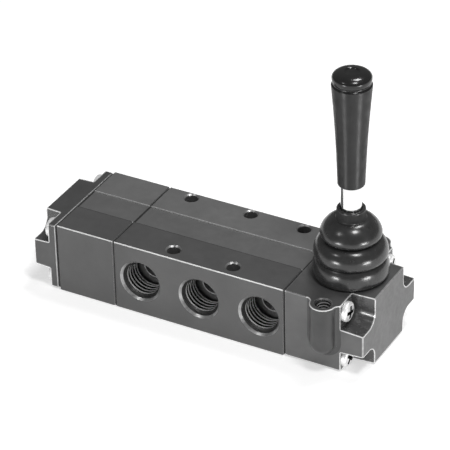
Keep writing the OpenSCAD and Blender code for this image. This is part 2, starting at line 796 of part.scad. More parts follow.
// Points of one half of a boot fold: an elliptic arc between a waist and a crest
function fold_arc(waist, crest, z_crest, height, from, to, steps = 7) =
    [for (i = [0 : steps]) let (a = from + (to - from) * i / steps)
        [waist + (crest - waist) * cos(a), z_crest + height * sin(a)]];

// Side of the boot from foot to neck, moved in by t for the inner side
function boot_side(t) = concat(
    fold_arc(foot_r - t, fold1_r - t, fold1_z, fold1_z - t, -90, 0),
    fold_arc(waist1_r - t, fold1_r - t, fold1_z, waist1_z - fold1_z - t, 0, 90),
    fold_arc(waist1_r - t, fold2_r - t, fold2_z, fold2_z - waist1_z - t, -90, 0),
    fold_arc(waist2_r - t, fold2_r - t, fold2_z, waist2_z - fold2_z - t, 0, 90),
    fold_arc(waist2_r - t, fold3_r - t, fold3_z, fold3_z - waist2_z - t, -90, 0),
    fold_arc(shoulder_r - t, fold3_r - t, fold3_z, shoulder_z - fold3_z - t, 0, 90),
    neck_arc(t));

// Points of the hollow between the upper fold's shoulder and the neck, moved in by t
function neck_arc(t, steps = 6) =
    [for (k = [1 : steps]) let (a = 90 * k / steps)
        [shoulder_r - t - (shoulder_r - lip_r) * sin(a),
            neck_z - t - (neck_z - shoulder_z) * cos(a)]];

module boot() {
    hole_r = shaft_r + lip_gap;
    inner = boot_side(boot_t);
    last = len(inner) - 1;
    color("#1e1e1e") translate([lever_x, 0, body_h]) rotate_extrude() polygon(concat(
        [[foot_r - boot_t, 0]], boot_side(0),
        [[lip_r, neck_z + 0.4], [lip_r - 0.1, lip_z - 0.7], [lip_r - 0.5, lip_z],
            [hole_r + 0.6, lip_z], [hole_r, lip_z - 0.9], [hole_r, inner[last][1]]],
        [for (i = [last : -1 : 0]) if (inner[i][0] > hole_r) inner[i]]));
}

// Side of the grip: a taper that sags a little, then a groove and a round bead
module grip() {
    steps = 10;
    lip = 0.6;
    knob_z = groove_z + knob_h * 0.38;
    knob_top = grip_top_z - 0.15;
    side = [for (i = [0 : steps]) let (t = i / steps)
        [grip_r0 + (grip_r1 - grip_r0) * t - grip_sag * sin(180 * t),
            grip_z0 + lip + (grip_len - 2 * lip) * t]];
    bead_low = [for (i = [0 : 4]) let (a = -80 + 80 * i / 4)
        [groove_r + (knob_r - groove_r) * cos(a), knob_z + (knob_z - groove_z) * sin(a)]];
    bead_high = [for (i = [1 : 8]) let (a = 84 * i / 8)
        [dimple_r + (knob_r - dimple_r) * cos(a), knob_z + (knob_top - knob_z) * sin(a)]];
    color("#202020") translate([lever_x, 0, 0]) difference() {
        rotate_extrude() polygon(concat(
            [[0, grip_z0], [grip_r0 - lip, grip_z0]], side,
            [[grip_r1 - lip * 0.5, grip_rim_z], [groove_r, groove_z - 0.2]],
            bead_low, bead_high,
            [[dimple_r, grip_top_z], [dimple_r - 0.5, grip_top_z - 0.5], [0, grip_top_z - 0.6]]));
        translate([0, 0, grip_z0 - over])
            cylinder(h = shaft_top_z + 2 - grip_z0 + over, r = insert_r + still_gap);
    }
}

module grip_insert() {
    color("#b39a5a") translate([lever_x, 0, grip_z0 + 1.2]) difference() {
        cylinder(h = shaft_top_z - grip_z0, r = insert_r);
        translate([0, 0, -over]) cylinder(h = shaft_top_z, r = shaft_bore_r);
    }
}

valve_body();
spring_housing();
end_cap();
lever_housing();
end_cap_gasket();
spring_housing_gasket();
lever_housing_gasket();
end_cap_screws();
lever_housing_screws();
port_cages();
bore_seals();
end_retainers();
spool();
spring_collar();
collar_nut();
inner_spring();
outer_spring();
spring_seat();
lever_shaft();
drive_ball();
pivot_pin();
pivot_bush();
thrust_washers();
carrier_ring();
snap_ring();
boot();
grip();
grip_insert();
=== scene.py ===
import math

import bmesh
import bpy
from mathutils import Matrix, Vector


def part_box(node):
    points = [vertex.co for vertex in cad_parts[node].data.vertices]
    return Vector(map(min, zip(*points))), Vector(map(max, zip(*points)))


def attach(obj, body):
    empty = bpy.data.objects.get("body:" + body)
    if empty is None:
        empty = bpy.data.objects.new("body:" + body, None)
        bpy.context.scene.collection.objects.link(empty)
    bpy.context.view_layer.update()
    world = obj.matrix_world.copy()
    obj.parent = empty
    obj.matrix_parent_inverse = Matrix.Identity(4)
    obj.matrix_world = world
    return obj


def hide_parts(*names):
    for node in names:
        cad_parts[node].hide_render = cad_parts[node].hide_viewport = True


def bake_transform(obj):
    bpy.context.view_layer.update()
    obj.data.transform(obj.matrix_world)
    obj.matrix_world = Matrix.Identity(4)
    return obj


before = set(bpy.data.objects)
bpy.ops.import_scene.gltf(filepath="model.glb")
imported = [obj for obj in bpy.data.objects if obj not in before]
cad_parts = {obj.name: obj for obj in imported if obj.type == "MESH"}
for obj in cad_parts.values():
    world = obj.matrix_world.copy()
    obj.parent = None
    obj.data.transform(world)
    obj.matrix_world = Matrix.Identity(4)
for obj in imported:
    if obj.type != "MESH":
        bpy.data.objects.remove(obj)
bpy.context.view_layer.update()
mm = 0.001


# ---------------------------------------------------------------- valve body
# An aluminium block, milled square, bored from end to end for the spool and dark
# anodised. Its long edges are broken with a small bevel. A painted highlight lightens
# its outer edges, the front bevel and the channel's rear step; painted shade darkens
# the edges of the front face, the front strip and the channel's floor, at the seams and
# along the channel's front edge. The front face, the two top strips and the channel's
# floor are darker and lighter copies of one coat, toned for how each is lit, and the
# bolt holes' walls a lighter copy still: painted light and shade.
# The spring housing and the two castings are screwed to its ends.

BLOCK_GREY = 0.11
BLOCK_ROUGH = 0.42
# Shares of the coat's grey for the front face and the top: painted light and shade.
FRONT_PAINTED_SHADE_SHARE = 0.96
FRONT_STRIP_PAINTED_LIGHT_SHARE = 1.12
CHANNEL_PAINTED_LIGHT_SHARE = 1.65
BACK_STRIP_PAINTED_LIGHT_SHARE = 2.0
# Painted highlight along the edges, on the front bevel and on the channel's rear step.
EDGE_HIGHLIGHT_GREY = 0.8
EDGE_HIGHLIGHT_REACH = 0.5 * mm
BACK_EDGE_HIGHLIGHT_REACH = 0.3 * mm
BEVEL_ROUGH = 0.4
# Painted shade along the edges at the seams and at the channel's front edge.
SEAM_SHADE_GREY = 0.03
SEAM_SHADE_REACH = 0.5 * mm
FRONT_SEAM_SHADE_REACH = 0.6 * mm
CUT_GREY = 0.4
CUT_ROUGH = 0.35
SHADE_GREY = 0.02
SHADE_REACH = 1.5 * mm
# The bolt holes' walls: a lighter copy of the coat, as painted light.
WALL_PAINTED_LIGHT_GREY = 0.22
WALL_ROUGH = 0.35

NOISE_LOW, NOISE_HIGH = 0.3, 0.7
NOISE_DETAIL = 4
PROBE_SAMPLES = 16
RIM_SPAN = (0.66, 0.9)
GAP_SPAN = (0.2, 0.95)
MIX_FIRST, MIX_SECOND, MIX_RESULT = 6, 7, 2

JOIN_REACH = 0.002 * mm
FLAT_ANGLE = 0.5
FACING = 0.98
STEEP = 0.9
SLANT = 0.5
SKIN = 0.1 * mm
RIM_HEIGHT = 1 * mm
ALONG_Y, ALONG_Z = 1, 2
CUT_SLOT, STRIP_SLOT, WALL_SLOT = 1, 2, 7
HOLES = (
    (-14.175 * mm, -17.7 * mm),
    (13.275 * mm, -17.7 * mm),
    (-26.9 * mm, 20 * mm),
    (1.1 * mm, 20 * mm),
    (25.9 * mm, 20 * mm),
)
HOLE_REACH = 3.5 * mm
HOLE_DEPTH = 20 * mm
HOLE_SINK = 1 * mm


def new_piece(name, work):
    """Turns a mesh that was built up in work into an object with this name."""
    shape = bpy.data.meshes.new(name)
    bmesh.ops.recalc_face_normals(work, faces=work.faces)
    work.to_mesh(shape)
    work.free()
    for old in ("custom_normal", "sharp_face", "sharp_edge"):
        if old in shape.attributes:
            shape.attributes.remove(shape.attributes[old])
    piece = bpy.data.objects.new(name, shape)
    bpy.context.scene.collection.objects.link(piece)
    return piece


def piece_of(node, name):
    """Copies a node's solid into a new mesh and joins the faces that lie level."""
    work = bmesh.new()
    work.from_mesh(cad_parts[node].data)
    bmesh.ops.remove_doubles(work, verts=work.verts, dist=JOIN_REACH)
    bmesh.ops.dissolve_limit(
        work, angle_limit=math.radians(FLAT_ANGLE), verts=work.verts, edges=work.edges
    )
    return new_piece(name, work)


def settle(piece):
    """Makes the piece's modifiers part of its mesh."""
    graph = bpy.context.evaluated_depsgraph_get()
    shape = bpy.data.meshes.new_from_object(piece.evaluated_get(graph))
    piece.modifiers.clear()
    piece.data = shape


def smooth(piece, crease=30):
    """Shades the piece smooth, and keeps the creases sharper than this angle."""
    for face in piece.data.polygons:
        face.use_smooth = True
    piece.data.set_sharp_from_angle(angle=math.radians(crease))


def level(piece, crease=30):
    """Shades the piece smooth, and lets its large faces look flat up to their rims."""
    smooth(piece, crease)
    even = piece.modifiers.new("even", "WEIGHTED_NORMAL")
    even.keep_sharp = True
    settle(piece)


def tint(grey):
    """A colour with alpha from one grey, or from three values."""
    red, green, blue = grey if isinstance(grey, tuple) else (grey, grey, grey)
    return (red, green, blue, 1)


def new_finish(name, grey, metal, rough):
    """Starts a finish with a plain surface, for the texture nodes that follow."""
    finish = bpy.data.materials.new(name)
    finish.use_nodes = True
    surface = finish.node_tree.nodes["Principled BSDF"]
    surface.inputs["Base Color"].default_value = tint(grey)
    surface.inputs["Metallic"].default_value = metal
    surface.inputs["Roughness"].default_value = rough
    return finish


def grain(finish, size, stretch=(1, 1, 1)):
    """Adds a noise of that grain size in metres, and returns its node."""
    tree = finish.node_tree
    place = tree.nodes.new("ShaderNodeTexCoord")
    turn = tree.nodes.new("ShaderNodeMapping")
    turn.inputs["Scale"].default_value = [1 / s for s in stretch]
    cloud = tree.nodes.new("ShaderNodeTexNoise")
    cloud.inputs["Scale"].default_value = 1 / size
    cloud.inputs["Detail"].default_value = NOISE_DETAIL
    tree.links.new(place.outputs["Object"], turn.inputs["Vector"])
    tree.links.new(turn.outputs["Vector"], cloud.inputs["Vector"])
    return cloud


def vary_colour(finish, cloud, dark, light):
    """Lets the noise shift the colour between two tones."""
    tree = finish.node_tree
    ramp = tree.nodes.new("ShaderNodeValToRGB")
    first, last = ramp.color_ramp.elements
    first.position, last.position = NOISE_LOW, NOISE_HIGH
    first.color, last.color = tint(dark), tint(light)
    surface = tree.nodes["Principled BSDF"]
    tree.links.new(cloud.outputs["Fac"], ramp.inputs["Fac"])
    tree.links.new(ramp.outputs["Color"], surface.inputs["Base Color"])


def vary_gloss(finish, cloud, low, high):
    """Lets the noise shift the roughness between two values."""
    tree = finish.node_tree
    span = tree.nodes.new("ShaderNodeMapRange")
    span.inputs["From Min"].default_value = NOISE_LOW
    span.inputs["From Max"].default_value = NOISE_HIGH
    span.inputs["To Min"].default_value = low
    span.inputs["To Max"].default_value = high
    surface = tree.nodes["Principled BSDF"]
    tree.links.new(cloud.outputs["Fac"], span.inputs["Value"])
    tree.links.new(span.outputs["Result"], surface.inputs["Roughness"])


def add_relief(finish, cloud, depth, strength):
    """Lets the noise raise and lower the surface by this depth in metres."""
    tree = finish.node_tree
    bump = tree.nodes.new("ShaderNodeBump")
    bump.inputs["Strength"].default_value = strength
    bump.inputs["Distance"].default_value = depth
    surface = tree.nodes["Principled BSDF"]
    tree.links.new(cloud.outputs["Fac"], bump.inputs["Height"])
    tree.links.new(bump.outputs["Normal"], surface.inputs["Normal"])


def milled(name, grey, rough):
    """Milled aluminium: faint clouds in its coat, fine cutter lines along the block."""
    finish = new_finish(name, grey, metal=0.55, rough=rough)
    vary_colour(finish, grain(finish, 14 * mm), dark=grey * 0.93, light=grey * 1.07)
    vary_gloss(finish, grain(finish, 3 * mm), low=rough - 0.04, high=rough + 0.06)
    lines = grain(finish, 0.35 * mm, stretch=(30, 1, 1))
    add_relief(finish, lines, depth=0.004 * mm, strength=0.5)
    return finish


def bare_metal(name, grey, rough):
    """Bare metal with fine scratches, as cut after the coating; also used for painted
    highlights and painted shade.
    """
    finish = new_finish(name, grey, metal=0.9, rough=rough)
    vary_colour(finish, grain(finish, 1.6 * mm), dark=grey * 0.8, light=grey * 1.15)
    vary_gloss(finish, grain(finish, 0.8 * mm), low=rough * 0.8, high=rough * 1.25)
    add_relief(finish, grain(finish, 0.2 * mm), depth=0.003 * mm, strength=0.6)
    return finish


def near_edges(finish, reach, inside):
    """1 close to the piece's outer edges, or to its inner corners, and 0 elsewhere."""
    tree = finish.node_tree
    probe = tree.nodes.new("ShaderNodeAmbientOcclusion")
    probe.inside = inside
    probe.only_local = inside
    probe.samples = PROBE_SAMPLES
    probe.inputs["Distance"].default_value = reach
    low, high = RIM_SPAN if inside else GAP_SPAN
    span = tree.nodes.new("ShaderNodeMapRange")
    span.inputs["From Min"].default_value = low
    span.inputs["From Max"].default_value = high
    span.inputs["To Min"].default_value = 1
    span.inputs["To Max"].default_value = 0
    tree.links.new(probe.outputs["AO"], span.inputs["Value"])
    return span.outputs["Result"]


def above(finish, height):
    """1 where the piece is higher than this, and 0 below it."""
    tree = finish.node_tree
    place = tree.nodes.new("ShaderNodeTexCoord")
    parts = tree.nodes.new("ShaderNodeSeparateXYZ")
    step = tree.nodes.new("ShaderNodeMath")
    step.operation = "GREATER_THAN"
    step.inputs[1].default_value = height
    tree.links.new(place.outputs["Object"], parts.inputs["Vector"])
    tree.links.new(parts.outputs["Z"], step.inputs[0])
    return step.outputs[0]


def tone_edges(finish, grey, reach, inside=True, only=None):
    """Paints another tone into the finish along its edges, or down in its gaps, as a
    painted highlight where it is lighter and as painted shade where it is darker.
    """
    tree = finish.node_tree
    surface = tree.nodes["Principled BSDF"]
    amount = near_edges(finish, reach, inside)
    if only:
        both = tree.nodes.new("ShaderNodeMath")
        both.operation = "MULTIPLY"
        tree.links.new(amount, both.inputs[0])
        tree.links.new(only, both.inputs[1])
        amount = both.outputs[0]
    mix = tree.nodes.new("ShaderNodeMix")
    mix.data_type = "RGBA"
    before = surface.inputs["Base Color"].links[0].from_socket
    tree.links.new(amount, mix.inputs["Factor"])
    tree.links.new(before, mix.inputs[MIX_FIRST])
    mix.inputs[MIX_SECOND].default_value = tint(grey)
    tree.links.new(mix.outputs[MIX_RESULT], surface.inputs["Base Color"])


def dress(piece, *finishes):
    """Puts these finishes in the piece's slots, in order."""
    piece.data.materials.clear()
    for finish in finishes:
        piece.data.materials.append(finish)


def mark_holes(piece, axis, places, radius, depth, slot):
    """Gives the walls of round holes that run along an axis the finish in that slot."""
    across = [k for k in range(3) if k != axis]
    for face in piece.data.polygons:
        if abs(face.normal[axis]) > FACING:
            continue
        for place in places:
            off = [face.center[k] - place[k] for k in across]
            inside = abs(face.center[axis] - place[axis]) < depth
            if inside and math.hypot(*off) < radius:
                face.material_index = slot


def mark_strips(piece, slot):
    """Marks the two strips, the channel's floor and the front for their painted light
    and shade, and the front bevel and the channel's rear step for the painted
    highlight.
    """
    front_strip_painted_light, channel, back_strip_painted_light, bevel, front = range(slot, slot + 5)
    high = max(corner.co.z for corner in piece.data.vertices)
    near = min(corner.co.y for corner in piece.data.vertices)
    for face in piece.data.polygons:
        at, way = face.center, face.normal
        upper = at.z > high - RIM_HEIGHT
        if way.y < -FACING and at.y < near + SKIN:
            face.material_index = front
        elif way.y < -SLANT and way.z > SLANT and at.y < near + RIM_HEIGHT:
            face.material_index = bevel
        elif way.z > FACING and at.z > high - SKIN:
            face.material_index = back_strip_painted_light if at.y > 0 else front_strip_painted_light
        elif way.z > FACING and upper:
            face.material_index = channel
        elif way.y < -STEEP and at.y > 0 and upper:
            face.material_index = bevel


body_lo, body_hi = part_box("valve_body")
block_finish = milled("block_anodised_edge_highlight", BLOCK_GREY, BLOCK_ROUGH)
# Painted highlight: a light grey along the block's outer edges.
tone_edges(block_finish, EDGE_HIGHLIGHT_GREY, EDGE_HIGHLIGHT_REACH)
# The top strips and channel floor are lighter copies of the coat and the front a darker
# one: painted light and shade.
front_strip_painted_light_finish = milled("front_strip_painted_light", BLOCK_GREY * FRONT_STRIP_PAINTED_LIGHT_SHARE, BLOCK_ROUGH)
# Painted shade along the front strip's edges, at the seams and the channel's front
# edge.
tone_edges(front_strip_painted_light_finish, SEAM_SHADE_GREY, SEAM_SHADE_REACH)
channel_painted_light_finish = milled("channel_floor_painted_light", BLOCK_GREY * CHANNEL_PAINTED_LIGHT_SHARE, BLOCK_ROUGH)
# Painted shade along the channel floor's edges at the seams.
tone_edges(channel_painted_light_finish, SEAM_SHADE_GREY, SEAM_SHADE_REACH)
back_strip_painted_light_finish = milled("back_strip_painted_light", BLOCK_GREY * BACK_STRIP_PAINTED_LIGHT_SHARE, BLOCK_ROUGH)
# Painted highlight along the back strip's edges.
tone_edges(back_strip_painted_light_finish, EDGE_HIGHLIGHT_GREY, BACK_EDGE_HIGHLIGHT_REACH)
# The front bevel and the channel's rear step are painted light grey as a highlight.
bevel_highlight_finish = milled("channel_step_painted_highlight", EDGE_HIGHLIGHT_GREY, BEVEL_ROUGH)
front_painted_light_and_shade_finish = milled("block_front_painted_light_and_shade", BLOCK_GREY * FRONT_PAINTED_SHADE_SHARE, BLOCK_ROUGH)
# Painted shade along the front face's edges; its top edge then gets the painted
# highlight.
tone_edges(front_painted_light_and_shade_finish, SEAM_SHADE_GREY, FRONT_SEAM_SHADE_REACH)
# Painted highlight along the front face's top edge.
rim = above(front_painted_light_and_shade_finish, body_hi[2] - RIM_HEIGHT)
tone_edges(front_painted_light_and_shade_finish, EDGE_HIGHLIGHT_GREY, EDGE_HIGHLIGHT_REACH, only=rim)
painted_light_strip_finishes = (
    front_strip_painted_light_finish,
    channel_painted_light_finish,
    back_strip_painted_light_finish,
    bevel_highlight_finish,
    front_painted_light_and_shade_finish,
)
cut_finish = bare_metal("hole_cut", CUT_GREY, CUT_ROUGH)
tone_edges(cut_finish, SHADE_GREY, SHADE_REACH, inside=False)
wall_painted_light_finish = milled("hole_wall_painted_light", WALL_PAINTED_LIGHT_GREY, WALL_ROUGH)

body_block = piece_of("valve_body", "body_block")
level(body_block)
dress(body_block, block_finish, cut_finish, *painted_light_strip_finishes, wall_painted_light_finish)
mark_strips(body_block, STRIP_SLOT)
holes = [(x, y, body_hi[2]) for x, y in HOLES]
# The bolt holes' walls get the lighter copy of the coat, as painted light.
mark_holes(body_block, ALONG_Z, holes, HOLE_REACH, HOLE_DEPTH, WALL_SLOT)
mark_holes(body_block, ALONG_Z, holes, HOLE_REACH, HOLE_SINK, CUT_SLOT)
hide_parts("valve_body")
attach(body_block, "valve")


# ------------------------------------------------------------- port threads
# The five ports are tapped with a taper pipe thread, after a countersink. The ridges
# stand in from the tapped wall and get lower towards both ends. Their flanks are bare
# metal painted near black as shade, and their crests near white as a painted highlight.

SPOOL_HEIGHT = 15.875 * mm
PORT_PITCH = 27.45 * mm
PORT_MIDDLE = 0.43 * mm
PORT_RADIUS = 8.5 * mm
PORT_DEPTH = 12 * mm
PORT_SINK = 0.9 * mm
PORT_RIDGE = 1.05 * mm
PORT_LEAD = 1.81 * mm
PORT_TAPER = 1 / 32
MOUTH_RADIUS = 9.6 * mm
MOUTH_DEPTH = 1.1 * mm
RIDGE_FLAT = 0.42
RIDGE_FOOT = 0.94
RIDGE_LOW = 0.1
RIDGE_SUNK = 0.03 * mm
RUN_IN = 0.45
RUN_OUT = 0.8
# Painted shade on the thread flanks, and a painted highlight on their crests.
FLANK_SHADE_GREY = 0.02
CREST_HIGHLIGHT_GREY = 0.92
CREST_METAL = 0.25


def tube(name, rings):
    """A skin over rings of points that follow one another, closed at both ends."""
    work = bmesh.new()
    rows = [[work.verts.new(point) for point in ring] for ring in rings]
    for a, b in zip(rows, rows[1:]):
        for k in range(len(a)):
            m = (k + 1) % len(a)
            work.faces.new((a[k], a[m], b[m], b[k]))
    work.faces.new(rows[0])
    work.faces.new(rows[-1])
    return new_piece(name, work)


def thread(name, radius, ridge, lead, start, end, taper=0, sides=56):
    """Inside thread round Z that runs down from start to end below the mouth."""
    count = int(((end - start) / lead - 1) * sides)
    wall = radius + RIDGE_SUNK
    rings = []
    for i in range(count + 1):
        angle = 2 * math.pi * i / sides
        depth = start + lead / 2 + lead * i / sides
        ease = min(1, i / (RUN_IN * sides), (count - i) / (RUN_OUT * sides))
        height = ridge * (RIDGE_LOW + (1 - RIDGE_LOW) * ease)
        crest = radius - height - taper * depth
        section = (
            (wall, -RIDGE_FOOT / 2),
            (crest, -RIDGE_FLAT / 2),
            (crest, RIDGE_FLAT / 2),
            (wall, RIDGE_FOOT / 2),
        )
        rings.append(
            [
                (at * math.cos(angle), at * math.sin(angle), -depth - shift * lead)
                for at, shift in section
            ]
        )
    return tube(name, rings)


def stand(piece, place, turn):
    """Turns the piece, moves it to its place and keeps that in its mesh."""
    piece.data.transform(Matrix.Translation(place) @ turn)


flank_shade_finish = bare_metal("thread_flank_painted_shade", FLANK_SHADE_GREY, 0.4)
crest_highlight_finish = milled("thread_crest_painted_highlight", CREST_HIGHLIGHT_GREY, 0.3)
surface = crest_highlight_finish.node_tree.nodes["Principled BSDF"]
surface.inputs["Metallic"].default_value = CREST_METAL


def dress_thread(ridges):
    """Gives the flanks the painted shade, and the crest, the second of every four
    faces, the painted highlight.
    """
    dress(ridges, flank_shade_finish, crest_highlight_finish)
    for face in ridges.data.polygons:
        if face.index % 4 == 1:
            face.material_index = 1


ports = [(f"port_thread_front_{k + 2}", k, -1) for k in (-1, 0, 1)]
ports += [(f"port_thread_rear_{int(k + 1.5)}", k, 1) for k in (-0.5, 0.5)]
for name, k, side in ports:
    outside = body_lo[1] if side < 0 else body_hi[1]
    mouth = (PORT_MIDDLE + k * PORT_PITCH, outside, SPOOL_HEIGHT)
    ridges = thread(
        name, PORT_RADIUS, PORT_RIDGE, PORT_LEAD, PORT_SINK, PORT_DEPTH, PORT_TAPER
    )
    stand(ridges, Vector(mouth), Matrix.Rotation(-side * math.pi / 2, 4, "X"))
    smooth(ridges, 25)
    dress_thread(ridges)
    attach(ridges, "valve")
    mark_holes(body_block, ALONG_Y, [mouth], MOUTH_RADIUS, MOUTH_DEPTH, CUT_SLOT)


# ---------------------------------------------------------- spring housing
# A second block of the same section, milled and anodised with the valve body. It
# carries the return springs, and long screws through it hold it and the end cap on.

spring_block = piece_of("spring_housing", "spring_block")
level(spring_block)
dress(spring_block, block_finish, *painted_light_strip_finishes)
# The same painted light, shade and highlights as on the valve body.
mark_strips(spring_block, 1)
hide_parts("spring_housing")
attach(spring_block, "valve")


# ---------------------------------------------------------------- castings
# The end cap and the lever housing are die castings with a dark coat. Each has four
# drafted notches round its screws. A painted highlight lightens their outer edges, and
# the rounded edges at their end of higher x are a brighter bare-metal grey, also a
# painted highlight. The bosses' sides are a darker copy of the coat, as painted shade,
# and the notch faces a copy toned for the light in them: painted light and shade.

CAP_GREY = 0.1
CAST_GREY = 0.13
CAST_ROUGH = 0.38
# Painted highlight along the castings' edges, brighter on the rounded edges at the end
# of higher x.
CAST_EDGE_HIGHLIGHT_GREY = 0.9
CAST_EDGE_HIGHLIGHT_REACH = 0.7 * mm
END_HIGHLIGHT_GREY = 0.45
END_HIGHLIGHT_ROUGH = 0.4
END_HIGHLIGHT_REACH = 0.8 * mm
END_HIGHLIGHT_LEAN = (0.1, 0.97)
# Painted shade: the bosses' sides are a darker copy of the coat.
BOSS_SHADE_GREY = 0.075
# The notch faces' own grey is painted light and shade for how the notches are lit.
NOTCH_PAINTED_LIGHT_GREY = 0.11
NOTCH_ROUGH = 0.24
NOTCH_Y = (12.5 * mm, 23.22 * mm)
NOTCH_Z = (1.2 * mm, 31.3 * mm)
CAST_SKIN = 0.4 * mm
BOSS_Y = 23.67 * mm
END_HIGHLIGHT_SLOT, BOSS_SHADE_SLOT, NOTCH_SLOT = 1, 2, 3


def cast_coat(name, grey, rough):
    """Coated casting: a very fine grain, faint clouds, and a painted highlight along
    its edges.
    """
    finish = new_finish(name, grey, metal=0.5, rough=rough)
    vary_colour(finish, grain(finish, 9 * mm), dark=grey * 0.9, light=grey * 1.1)
    vary_gloss(finish, grain(finish, 2 * mm), low=rough - 0.05, high=rough + 0.07)
    add_relief(finish, grain(finish, 0.3 * mm), depth=0.008 * mm, strength=0.4)
    tone_edges(finish, CAST_EDGE_HIGHLIGHT_GREY, CAST_EDGE_HIGHLIGHT_REACH)
    return finish


for node, name, grey in (
    ("end_cap", "end_casting", CAP_GREY),
    ("lever_housing", "lever_casting", CAST_GREY),
):
    casting = piece_of(node, name)
    level(casting, 40)
    dress(
        casting,
        cast_coat(f"{name}_coat", grey, CAST_ROUGH),
        bare_metal(f"{name}_end_highlight", END_HIGHLIGHT_GREY, END_HIGHLIGHT_ROUGH),
        cast_coat(f"{name}_boss", BOSS_SHADE_GREY, CAST_ROUGH),
        cast_coat(f"{name}_notch_painted_light", NOTCH_PAINTED_LIGHT_GREY, NOTCH_ROUGH),
    )
    low = min(corner.co.x for corner in casting.data.vertices)
    high = max(corner.co.x for corner in casting.data.vertices)
    for face in casting.data.polygons:
        x, y, z = face.center
        between = low + CAST_SKIN < x < high - CAST_SKIN
        # The notch faces get the copy of the coat with painted light and shade.
        if between and NOTCH_Y[0] < abs(y) < NOTCH_Y[1] and NOTCH_Z[0] < z < NOTCH_Z[1]:
            face.material_index = NOTCH_SLOT
        # Painted shade on the bosses' sides.
        if abs(y) > BOSS_Y and abs(face.normal.z) < STEEP:
            face.material_index = BOSS_SHADE_SLOT
        # Painted highlight: the rounded edges near the end of higher x get the
        # bare-metal grey.
        leaning = END_HIGHLIGHT_LEAN[0] < face.normal.x < END_HIGHLIGHT_LEAN[1]
        if x > high - END_HIGHLIGHT_REACH and leaning:
            face.material_index = END_HIGHLIGHT_SLOT
    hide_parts(node)
    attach(casting, "valve")


# ------------------------------------------------------------ boss threads
# A blind hole in each boss is tapped for a quarter inch screw that holds the valve to
# a panel. Its ridges are bare metal, with the painted shade on their flanks and the
# painted highlight on their crests.

TOP = 31.75 * mm
LEVER_X = 57.1 * mm
BOSS_SHIFT = 24.725 * mm
BOSS_RADIUS = 3.15 * mm
BOSS_SINK = 0.5 * mm
BOSS_DEPTH = 14 * mm
BOSS_LEAD = 1.27 * mm
BOSS_RIDGE = 0.68 * mm

for side, name in ((-1, "boss_thread_front"), (1, "boss_thread_rear")):
    ridges = thread(
        name, BOSS_RADIUS, BOSS_RIDGE, BOSS_LEAD, BOSS_SINK, BOSS_DEPTH, sides=40
    )
    stand(ridges, Vector((LEVER_X, side * BOSS_SHIFT, TOP)), Matrix.Identity(4))
    smooth(ridges, 25)
    dress_thread(ridges)
    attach(ridges, "valve")


# ---------------------------------------------------------------- gaskets
# Three flat gaskets, punched from black rubber sheet, show as dark lines between the
# blocks. The seal rings on the sleeve are moulded from the same rubber.

GASKET_GREY = 0.012
GASKET_ROUGH = 0.75


def rubber(name, grey, rough, size):
    """Black rubber: a faint bloom, and a skin with a grain of this size."""
    finish = new_finish(name, grey, metal=0, rough=rough)
    vary_colour(finish, grain(finish, 5 * mm), dark=grey * 0.8, light=grey * 1.25)
    vary_gloss(finish, grain(finish, 2.5 * mm), low=rough * 0.85, high=rough * 1.2)
    add_relief(finish, grain(finish, size), depth=0.01 * mm, strength=0.5)
    return finish


gasket_finish = rubber("gasket_rubber", GASKET_GREY, GASKET_ROUGH, 0.6 * mm)
for node in (
    "end_cap_gasket",
    "spring_housing_gasket",
    "lever_housing_gasket",
    "bore_seals",
):
    dress(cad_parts[node], gasket_finish)


# ------------------------------------------------------------- end screws
# Four pan head screws in each casting's notches, cold headed with a cross recess and
# bright zinc plated. They run through the castings into the valve body. The faces down
# in the cross recess are painted near black as shade.

SCREW_Y = 19 * mm
SCREW_RISE = 10.9 * mm
HEAD_RADIUS = 4.2 * mm
HEAD_HEIGHT = 2.3 * mm
HEAD_ROUND = 1.2 * mm
HEAD_SIDE = 0.42
SHANK_RADIUS = 2.1 * mm
RECESS_WIDTH = 1.5 * mm
RECESS_REACH = 2.9 * mm
RECESS_DEPTH = 1.9 * mm
RECESS_MOUTH = 1.12
RECESS_FOOT = 0.5
ZINC_GREY = 0.92
ZINC_ROUGH = 0.42
# Painted shade: the cross recess is painted near black.
RECESS_SHADE_GREY = 0.012
RECESS_ROUGH = 0.6
FIRST_ROLL, NEXT_ROLL = 17, 31


def spun(name, outline, sides):
    """Turns an outline of (radius, height) pairs round Z, like a piece from a lathe."""
    work = bmesh.new()
    rings = []
    for radius, height in outline:
        ring = []
        for k in range(sides if radius > 0 else 1):
            angle = 2 * math.pi * k / sides
            corner = (radius * math.cos(angle), radius * math.sin(angle), height)
            ring.append(work.verts.new(corner))
        rings.append(ring)
    for low, high in zip(rings, rings[1:]):
        for k in range(sides):
            m = (k + 1) % sides
            if len(low) == 1:
                work.faces.new((low[0], high[m], high[k]))
            elif len(high) == 1:
                work.faces.new((low[k], low[m], high[0]))
            else:
                work.faces.new((low[k], low[m], high[m], high[k]))
    return new_piece(name, work)


def arc(centre, radius, start, end, steps, height=None):
    """Points on an arc, or on an oval one, from one angle in degrees to another."""
    rise = radius if height is None else height
    points = []
    for i in range(steps + 1):
        angle = math.radians(start + (end - start) * i / steps)
        points.append(
            (centre[0] + radius * math.cos(angle), centre[1] + rise * math.sin(angle))
        )
    return points


